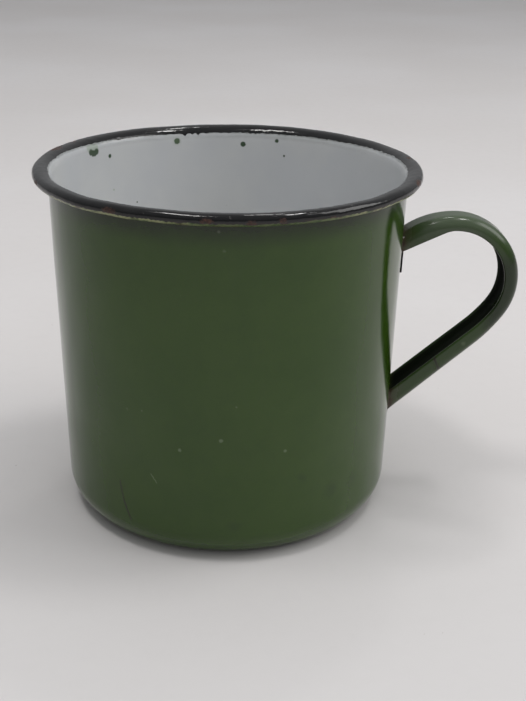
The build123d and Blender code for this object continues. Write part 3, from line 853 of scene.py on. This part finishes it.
        # rust creeping from under the two ends of the handle
        root = [
            f.step(f.v("LENGTH", f.v("MULTIPLY", f.v("SUBTRACT", ragged, (wall_r(63.2), 0, 62.2)), (1.0, 1.0, 0.55))), 4.1, 4.9, 1.0, 0.0),
            f.step(f.v("LENGTH", f.v("MULTIPLY", f.v("SUBTRACT", ragged, (wall_r(25.0), 0, 24.4)), (1.0, 1.0, 1.1))), 4.0, 4.7, 1.0, 0.0),
        ]
        rust = f.m("MULTIPLY", f.top(*root), f.step(f.noise(1.6, 3.0, 0.65), 0.40, 0.58, 0.25, 1.0))
        col = f.mix(f.m("MULTIPLY", rust, 0.9), col, f.mix(f.noise(0.7, 2.0, 0.6), RUSTY_DARK, RUSTY))
        dull = f.top(worn, f.m("MULTIPLY", crack, 0.6), f.m("MULTIPLY", smudge, 0.25), rust, f.m("MULTIPLY", strip, 0.5))
    if part == "handle":
        col = f.mix(0.45, col, (0.031, 0.046, 0.023))
        rough = f.m("ADD", rough, 0.08)
        # painted highlight: the handle's green is paler over its crown, standing in for the overhead light it catches
        painted_sheen_on_crown = f.m("MULTIPLY", f.step(f.m("ADD", f.z, f.m("MULTIPLY", f.noise(5.0, 3.0, 0.6), 2.0)), 65.0, 71.0), f.step(f.x, 43.0, 47.0))
        col = f.mix(f.m("MULTIPLY", painted_sheen_on_crown, 0.6), col, (0.072, 0.092, 0.062))
        # painted shade: the handle's green is darker round the bend, standing in for the shade there
        turn = f.m("MULTIPLY", f.m("MULTIPLY", f.step(f.z, 65.0, 59.0), f.step(f.z, 38.0, 46.0)), f.step(f.x, 60.0, 65.0))
        col = f.mix(f.m("MULTIPLY", turn, 0.75), col, (0.006, 0.012, 0.003))
        wall_gap = f.m("SUBTRACT", f.r, f.m("ADD", f.m("MULTIPLY", f.z, TA), FOOT_R - TA * CORNER_R))
        wall_gap = f.m("ADD", wall_gap, f.m("MULTIPLY", f.m("SUBTRACT", f.noise(1.3, 3.0, 0.65), 0.5), 2.4))
        seam = f.m("MULTIPLY", f.step(wall_gap, 0.35, 1.35, 1.0, 0.0), f.step(f.m("ABSOLUTE", f.m("SUBTRACT", f.z, 57.0)), 1.5, 6.5, 0.15, 1.0))
        halo = f.step(wall_gap, 0.8, 4.2, 1.0, 0.0)
        col = f.mix(f.m("MULTIPLY", halo, 0.35), col, (0.075, 0.060, 0.040))
        col = f.mix(f.m("MULTIPLY", seam, f.step(f.noise(2.0, 2.0, 0.6), 0.30, 0.6, 0.55, 1.0)), col, f.mix(f.noise(0.8, 2.0, 0.6), RUSTY_DARK, (0.090, 0.048, 0.034)))
        tab_edge = f.m("MULTIPLY", f.step(f.z, 63.6, 62.8), f.step(f.z, 50.0, 51.0))
        tab_edge = f.m("MULTIPLY", tab_edge, f.step(f.r, 43.0, 42.6))
        col = f.mix(f.m("MULTIPLY", tab_edge, f.step(f.noise(1.1, 3.0, 0.65), 0.30, 0.60, 0.35, 0.9)), col, (0.080, 0.050, 0.034))
        # a knock across the near flange of the lower run, and burnt edges along the channel's two lips
        knock = f.scratch(ragged, (KNOCK[0], -4.3, KNOCK[1]), (KNOCK[0] + 1.3, -3.9, KNOCK[1] - 3.0), 0.17, 0.40)
        lips = f.step(f.m("ABSOLUTE", f.y), 3.3, 3.8)
        depth_c = f.v("LENGTH", f.v("MULTIPLY", f.v("SUBTRACT", f.P, (EDGE[0][0], 0.0, EDGE[0][1] - EDGE[2])), (1.0, 0.0, 1.0)))
        lip_edge = f.m("MULTIPLY", lips, f.m("MULTIPLY", f.step(depth_c, 12.75, 12.45), f.step(f.noise(2.4, 3.0, 0.6), 0.46, 0.62)))
        col = f.mix(f.m("MULTIPLY", f.top(knock, f.m("MULTIPLY", lip_edge, 0.7)), 0.85), col, RUSTY_DARK)
        col = f.mix(f.m("MULTIPLY", f.spot(ragged, (57.6, -4.2, 40.0), 0.45, 0.4), 0.4), col, (0.16, 0.19, 0.12))
        # painted shade: the inside of the channel, between its lips, is coloured near black to stand in for the shadow
        # in it
        s_low, t_ease = math.radians(GRIP[5]), math.radians(GRIP[3])
        c3 = (GRIP[0][0] + (GRIP[2] - GRIP[4]) * math.cos(t_ease), GRIP[0][1] - GRIP[2] + (GRIP[2] - GRIP[4]) * math.sin(t_ease))
        reach_3 = f.v("LENGTH", f.v("MULTIPLY", f.v("SUBTRACT", f.P, (c3[0], 0.0, c3[1])), (1.0, 0.0, 1.0)))
        off_run = f.v("DOT_PRODUCT", f.v("SUBTRACT", f.P, (c3[0], 0.0, c3[1])), (math.sin(s_low), 0.0, -math.cos(s_low)))
        in_bend = f.m("MULTIPLY", f.step(depth_c, 14.75, 14.45), f.m("MULTIPLY", f.step(f.z, 47.0, 48.0), f.step(f.x, 45.5, 46.5)))
        in_ease = f.m("MULTIPLY", f.step(reach_3, GRIP[4] - 0.3, GRIP[4] - 0.7), f.m("MULTIPLY", f.step(f.z, 48.0, 47.0), f.step(f.z, 38.6, 39.6)))
        in_run = f.m("MULTIPLY", f.step(off_run, GRIP[4] - 0.3, GRIP[4] - 0.7), f.m("MULTIPLY", f.step(f.z, 39.8, 39.2), f.step(f.r, 41.2, 42.6)))
        painted_shade_in_channel = f.m("MULTIPLY", f.step(f.m("ABSOLUTE", f.y), 3.62, 3.34), f.top(in_bend, in_ease, in_run))
        col = f.mix(f.m("MULTIPLY", painted_shade_in_channel, 0.93), col, (0.004, 0.006, 0.003))
        dull = f.top(seam, f.m("MULTIPLY", knock, 0.6), f.m("MULTIPLY", halo, 0.25), f.m("MULTIPLY", painted_shade_in_channel, 1.0))
    if part == "base":
        ring = f.m("ADD", f.z, f.m("MULTIPLY", f.noise(2.6, 4.0, 0.7), -0.30))
        worn = f.step(ring, -0.20, 0.02, 1.0, 0.0)
        pins = []
        for at in (38, 161, 277):
            c = (22.5 * math.cos(math.radians(at)), 22.5 * math.sin(math.radians(at)), PANEL_RISE)
            pins.append(f.spot(f.warp(0.8, 0.2), c, 1.25, 0.2))
        pin = f.top(*pins)
        rust = f.mix(f.step(f.noise(1.3, 3.0, 0.65), 0.4, 0.65), RUSTY_DARK, (0.085, 0.040, 0.022))
        col = f.mix(f.top(worn, f.m("MULTIPLY", pin, 0.9)), col, rust)
        scuff = f.step(f.noise(2.0, 5.0, 0.7, stretch=(1.0, 0.12, 1.0)), 0.60, 0.70)
        col = f.mix(f.m("MULTIPLY", scuff, 0.22), col, (0.14, 0.17, 0.11))
        dull = f.top(worn, pin, f.m("MULTIPLY", scuff, 0.3))
    rough = f.lerp(dull, rough, 0.62)
    nrm = f.bump(peel, 0.012)
    nrm = f.bump(f.m("ADD", f.m("MULTIPLY", pits, 0.5), f.m("MULTIPLY", f.m("MULTIPLY", dull, f.noise(0.35, 2.0, 0.6)), 2.5)), 0.012, after=nrm)
    return f.done(col, rough, nrm, ior=1.49)


def white_finish():
    f = Finish("white enamel")
    ragged = f.warp(0.8, 0.22)
    broad = f.noise(22.0, 3.0, 0.55)
    col = f.mix(f.step(broad, 0.36, 0.64), (0.570, 0.586, 0.602), (0.604, 0.616, 0.617))
    col = f.mix(f.m("MULTIPLY", f.step(f.noise(7.0, 4.0, 0.65), 0.50, 0.75), 0.10), col, (0.50, 0.52, 0.55))
    # faint tide marks of tea low down, and a dirtier corner
    tide = f.m("ADD", f.z, f.m("MULTIPLY", f.noise(9.0, 3.0, 0.6), 7.0))
    ring = f.m("MULTIPLY", f.step(tide, 24.0, 26.5), f.step(tide, 30.0, 26.8))
    stain = f.m("ADD", f.m("MULTIPLY", ring, 0.16), f.m("MULTIPLY", f.step(tide, 13.0, 4.0), 0.22))
    col = f.mix(stain, col, (0.46, 0.40, 0.29))
    hair = f.step(f.noise(3.0, 5.0, 0.7, stretch=(1.0, 1.0, 0.10)), 0.66, 0.72)
    col = f.mix(f.m("MULTIPLY", hair, 0.16), col, (0.38, 0.38, 0.37))
    green = (0.018, 0.050, 0.012)
    dark = [
        f.spot(ragged, on_wall(138.2, 78.4, 1.0), 0.50, 0.16), f.spot(ragged, on_wall(109.6, 80.0, 1.0), 0.78, 0.16),
        f.spot(ragged, on_wall(84.6, 78.9, 1.0), 0.70, 0.16), f.spot(ragged, on_wall(71.7, 80.2, 1.0), 0.50, 0.16),
        f.spot(ragged, on_wall(68.75, 76.4, 1.0), 0.28, 0.12), f.spot(ragged, on_wall(126.8, 65.0, 1.0), 0.20, 0.10),
        f.spot(ragged, on_wall(229.0, 71.0, 1.0), 0.42, 0.14), f.spot(ragged, on_wall(301.0, 77.0, 1.0), 0.52, 0.15),
        f.spot(ragged, on_wall(332.0, 66.0, 1.0), 0.26, 0.10),
    ]
    col = f.mix(f.m("MULTIPLY", f.top(*dark), 0.95), col, green)
    pale = [
        f.spot(ragged, on_wall(137.1, 69.5, 1.0), 0.26, 0.14), f.spot(ragged, on_wall(146.9, 81.5, 1.0), 1.15, 0.22), f.spot(ragged, on_wall(145.2, 81.4, 1.0), 1.0, 0.22), f.spot(ragged, on_wall(148.5, 81.5, 1.0), 0.9, 0.22),
        f.m("MULTIPLY", f.spot(ragged, on_wall(109.6, 80.0, 1.0), 1.15, 0.35), 0.35),
    ]
    col = f.mix(f.m("MULTIPLY", f.top(*pale), 0.55), col, (0.26, 0.36, 0.22))
    drop = f.top(*(f.spot(ragged, on_wall(at, z, 1.0), 0.80, 0.2) for at, z in ((144.9, 80.35), (145.8, 80.1), (146.7, 80.15), (147.8, 80.5))))
    col = f.mix(f.m("MULTIPLY", drop, 0.92), col, green)
    # painted shade: the white is greyed along the top of the lip under the black band, less so towards the two sides,
    # to damp the light the curved lip catches
    across = f.m("POWER", f.m("DIVIDE", f.m("ABSOLUTE", f.x), 43.0), 3.0)
    height = f.m("SUBTRACT", f.m("ADD", f.z, f.m("MULTIPLY", f.noise(2.2, 4.0, 0.7), 0.9)), f.m("MULTIPLY", across, 0.85))
    col = f.mix(f.m("MULTIPLY", f.step(height, 80.5, 82.0), 0.42), col, (0.27, 0.28, 0.29))
    spill = f.m("MULTIPLY", f.step(height, 81.9, 82.4), 0.6)
    col = f.mix(spill, col, (0.10, 0.11, 0.10))
    speck = f.step(f.cells(5.0, at=f.warp(3.0, 1.0)), 0.020, 0.036, 1.0, 0.0)
    col = f.mix(f.m("MULTIPLY", speck, 0.22), col, (0.22, 0.23, 0.22))
    rough = f.lerp(f.noise(6.0, 3.0, 0.6), 0.10, 0.22)
    rough = f.lerp(hair, rough, 0.35)
    nrm = f.bump(f.noise(1.9, 2.0, 0.5), 0.010)
    nrm = f.bump(f.top(*dark), 0.03, after=nrm)
    return f.done(col, rough, nrm, ior=1.52)


def black_finish():
    f = Finish("black enamel")
    ragged = f.warp(0.7, 0.45)
    col = f.mix(f.step(f.noise(5.0, 4.0, 0.65), 0.40, 0.70), (0.0030, 0.0031, 0.0035), (0.0065, 0.0065, 0.0070))
    rusts = []
    for at, s0, wide, tall in RUST:
        c = on_rim(at, s0)
        t = math.radians(at)
        rel = f.v("SUBTRACT", ragged, c)
        along = f.v("DOT_PRODUCT", rel, (-math.sin(t), math.cos(t), 0.0))
        rest = f.v("LENGTH", f.v("SUBTRACT", rel, f.v("SCALE", (-math.sin(t), math.cos(t), 0.0), scale=along)))
        d = f.m("ADD", f.m("POWER", f.m("DIVIDE", f.m("ABSOLUTE", along), wide), 2.0), f.m("POWER", f.m("DIVIDE", rest, tall), 2.0))
        rusts.append(f.step(f.m("ADD", d, f.m("MULTIPLY", f.noise(0.9, 3.0, 0.7), 1.2)), 0.75, 1.65, 1.0, 0.0))
    patch = f.m("MULTIPLY", f.top(*rusts), f.step(f.noise(0.75, 3.0, 0.7), 0.30, 0.55, 0.30, 1.0))
    tint = f.mix(f.step(f.noise(0.5, 3.0, 0.7), 0.35, 0.65), (0.024, 0.009, 0.006), (0.085, 0.034, 0.020))
    col = f.mix(f.m("MULTIPLY", patch, 0.88), col, tint)
    # rubbed dull at the two sides of the rim, with a painted greyish sheen there; glossier across the front
    side = f.step(f.m("ADD", f.m("ABSOLUTE", f.x), f.m("MULTIPLY", f.noise(5.0, 3.0, 0.6), 10.0)), 34.0, 46.0)
    rub_and_sheen = f.m("MULTIPLY", side, f.step(f.noise(1.3, 4.0, 0.7, stretch=(1.0, 1.0, 1.0)), 0.34, 0.66, 0.35, 1.0))
    rub_and_sheen = f.m("MULTIPLY", rub_and_sheen, f.step(f.z, 81.6, 83.2))
    # painted sheen: a greyish tint on the rim's two sides
    col = f.mix(f.m("MULTIPLY", rub_and_sheen, 0.15), col, (0.026, 0.025, 0.024))
    nick = f.step(f.cells(3.1, at=f.warp(1.2, 0.8)), 0.035, 0.060, 1.0, 0.0)
    col = f.mix(f.m("MULTIPLY", nick, 0.5), col, (0.070, 0.068, 0.062))
    # the band thins to brown along its lower edge
    phi = f.m("ARCTAN2", f.m("SUBTRACT", f.z, DROP_Z), f.m("SUBTRACT", f.r, DROP_X))
    thin = f.m("MULTIPLY", f.step(phi, -0.30, -0.10, 1.0, 0.0), f.step(f.r, 43.6, 43.9))
    thin = f.m("MULTIPLY", thin, f.step(f.noise(2.4, 3.0, 0.6), 0.40, 0.62))
    col = f.mix(f.m("MULTIPLY", thin, 0.6), col, (0.034, 0.020, 0.013))
    rough = f.lerp(f.noise(2.5, 3.0, 0.6), 0.07, 0.16)
    rough = f.lerp(rub_and_sheen, rough, 0.24)
    rough = f.lerp(patch, rough, 0.60)
    nrm = f.bump(f.noise(1.4, 3.0, 0.55), 0.016)
    nrm = f.bump(f.m("MULTIPLY", f.top(patch, nick), f.noise(0.3, 3.0, 0.6)), 0.045, after=nrm)
    return f.done(col, rough, nrm, ior=1.52)


def steel_finish(name, weld):
    f = Finish(name)
    line = f.noise(0.35, 4.0, 0.65, stretch=(1.0, 1.0, 0.06)) if not weld else f.noise(0.4, 4.0, 0.7)
    col = f.mix(f.step(line, 0.3, 0.7), (0.30, 0.29, 0.28), (0.48, 0.47, 0.45))
    scale = f.step(f.noise(3.0 if not weld else 1.1, 4.0, 0.6), 0.52, 0.66)
    col = f.mix(f.m("MULTIPLY", scale, 0.7 if not weld else 0.9), col, (0.10, 0.075, 0.06) if not weld else (0.05, 0.05, 0.07))
    rough = f.lerp(line, 0.32, 0.55)
    rough = f.lerp(scale, rough, 0.75)
    nrm = f.bump(line, 0.01)
    return f.done(col, rough, nrm, ior=2.5, metallic=f.lerp(scale, 1.0, 0.4))


def floor_finish():
    f = Finish("pale table")
    broad = f.noise(240.0, 3.0, 0.5)
    col = f.mix(f.step(broad, 0.35, 0.65), (0.640, 0.618, 0.612), (0.672, 0.655, 0.655))
    mottle = f.noise(5.0, 4.0, 0.6)
    col = f.mix(f.m("MULTIPLY", f.step(mottle, 0.45, 0.75), 0.10), col, (0.56, 0.545, 0.54))
    # painted shade: the table is a shade darker towards the camera side
    near = f.step(f.m("ADD", f.y, f.m("MULTIPLY", f.noise(160.0, 2.0, 0.5), 60.0)), 180.0, -60.0)
    col = f.mix(f.m("MULTIPLY", near, 0.5), col, (0.545, 0.530, 0.528))
    grit = f.step(f.cells(14.0, at=f.warp(9.0, 6.0)), 0.012, 0.026, 1.0, 0.0)
    col = f.mix(f.m("MULTIPLY", grit, 0.5), col, (0.34, 0.31, 0.29))
    hairs = []
    g = np.random.default_rng(66)
    warped = f.warp(26.0, 9.0)
    for a, b in (
        ((57, -12), (112, -62)), ((64, -58), (86, -34)), ((-62, -46), (-38, -92)), ((-12, -74), (6, -112)), ((74, -74), (104, -66)),
        ((-84, -20), (-66, -64)), ((30, -70), (44, -84)), ((-36, -66), (-60, -60)), ((92, -20), (128, -14)), ((-30, -104), (8, -96)),
        ((70, 30), (118, 8)), ((-70, 60), (-112, 20)), ((-52, -78), (-46, -64)), ((20, -92), (58, -100)),
    ):
        hairs.append(f.scratch(warped, (a[0], a[1], 0), (b[0], b[1], 0), 0.05, float(g.uniform(0.16, 0.34))))
    hair = f.m("MULTIPLY", f.top(*hairs), f.step(f.noise(6.0, 3.0, 0.7), 0.38, 0.62))
    col = f.mix(f.m("MULTIPLY", hair, 0.42), col, (0.36, 0.31, 0.27))
    rough = f.lerp(mottle, 0.52, 0.66)
    nrm = f.bump(f.noise(1.6, 3.0, 0.6), 0.02)
    return f.done(col, rough, nrm, ior=1.42)


def dress(ob, mat):
    ob.data.materials.clear()
    ob.data.materials.append(mat)


dress(interior, white_finish())
dress(exterior, green_finish("green enamel, wall", "wall"))
dress(base, green_finish("green enamel, base", "base"))
dress(handle, green_finish("green enamel, handle", "handle"))
dress(rim, black_finish())
steel_mat = steel_finish("drawn steel", False)
weld_mat = steel_finish("weld steel", True)
for node, mat in (("steel_body", steel_mat), ("steel_handle", steel_mat), ("upper_spot_welds", weld_mat), ("lower_spot_welds", weld_mat)):
    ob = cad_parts[node]
    if not ob.material_slots:
        ob.data.materials.append(mat)
    for slot in ob.material_slots:
        slot.material = mat

for ob, node, slot in (
    (interior, "interior_enamel", "white_enamel"), (exterior, "exterior_enamel", "green_enamel"), (base, "base_enamel", "green_enamel"),
    (handle, "handle_enamel", "green_enamel"), (rim, "rim_enamel", "black_enamel"),
):
    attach(ob, "root")
    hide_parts(node)

# ------------------------------------------------------------------ table, light and camera
bm = bmesh.new()
bmesh.ops.create_grid(bm, x_segments=24, y_segments=24, size=3.5)
floor_mesh = bpy.data.meshes.new("table_top")
bm.to_mesh(floor_mesh)
bm.free()
floor = bpy.data.objects.new("table_top", floor_mesh)
bpy.context.scene.collection.objects.link(floor)
dress(floor, floor_finish())


def area_light(name, at, look, size, power, colour=(1, 1, 1), size_y=None):
    data = bpy.data.lights.new(name, "AREA")
    data.shape = "RECTANGLE"
    data.size = size
    data.size_y = size_y or size
    data.energy = power
    data.color = colour
    ob = bpy.data.objects.new(name, data)
    bpy.context.scene.collection.objects.link(ob)
    ob.location = at
    ob.rotation_euler = (Vector(look) - Vector(at)).to_track_quat("-Z", "Y").to_euler()
    return ob


overhead = area_light("overhead_soft", (0.10, 0.04, 1.25), (0.02, 0.03, 0.0), 1.0, 3.7, (0.98, 0.99, 1.0))
front = area_light("front_fill", (0.16, -0.74, 0.74), (0.0, -0.02, 0.0), 0.9, 1.9, (1.0, 0.99, 0.985))
for fill in (overhead, front):
    fill.visible_glossy = False
area_light("soft_key", (1.08, -0.10, 0.86), (0.0, 0.0, 0.03), 0.8, 5.4, (1.0, 0.985, 0.97))
area_light("ceiling_lamp", (-0.272, -0.130, 1.060), (0, 0, 0.08), 0.34, 2.2, (1.0, 0.98, 0.96), 0.13)
area_light("ceiling_strip", (0.363, 0.040, 1.034), (0, 0, 0.08), 0.19, 1.4, (1.0, 0.99, 0.98), 0.10)
area_light("back_lamp", (0.132, 0.473, 0.979), (0, 0, 0.08), 0.10, 0.5, (1.0, 0.99, 0.98), 0.07)

world = bpy.data.worlds.new("studio")
bpy.context.scene.world = world
world.use_nodes = True
wt = world.node_tree
wt.nodes.clear()
w_out = wt.nodes.new("ShaderNodeOutputWorld")
w_bg = wt.nodes.new("ShaderNodeBackground")
w_tc = wt.nodes.new("ShaderNodeTexCoord")
w_sep = wt.nodes.new("ShaderNodeSeparateXYZ")
wt.links.new(w_tc.outputs["Generated"], w_sep.inputs[0])


def w_math(op, a, b, clamp=False):
    n = wt.nodes.new("ShaderNodeMath")
    n.operation = op
    n.use_clamp = clamp
    for i, q in enumerate((a, b)):
        if isinstance(q, bpy.types.NodeSocket):
            wt.links.new(q, n.inputs[i])
        else:
            n.inputs[i].default_value = q
    return n.outputs[0]


# an even pale ceiling, dimmer towards the horizon and on the side the camera stands
rise = w_math("MULTIPLY", w_sep.outputs["Z"], 1.6, True)
level = w_math("ADD", w_math("MULTIPLY", rise, 0.17), w_math("MULTIPLY", w_sep.outputs["Y"], 0.09))
level = w_math("ADD", level, 0.22)
level = w_math("MAXIMUM", level, 0.07)
w_bg.inputs["Color"].default_value = (0.97, 0.98, 1.0, 1.0)
wt.links.new(level, w_bg.inputs["Strength"])
wt.links.new(w_bg.outputs[0], w_out.inputs["Surface"])

cam_data = bpy.data.cameras.new("camera")
cam_data.sensor_width = 36.0
cam_data.lens = 1150.0 * 36.0 / 701.0
cam_data.clip_start = 0.01
cam_data.clip_end = 50.0
cam = bpy.data.objects.new("camera", cam_data)
bpy.context.scene.collection.objects.link(cam)
right = Vector((0.9995228, -0.0266015, 0.0156999))
upv = Vector((-0.0042971, 0.3835775, 0.9234987))
fwd = Vector((0.0305885, 0.9231255, -0.3832801))
rot = Matrix((right, upv, -fwd)).transposed().to_4x4()
cam.matrix_world = Matrix.Translation((0.0, -0.2636067, 0.1456030)) @ rot
bpy.context.scene.camera = cam
bpy.context.scene.view_settings.view_transform = "Standard"
bpy.context.scene.view_settings.look = "None"

bpy.context.view_layer.update()
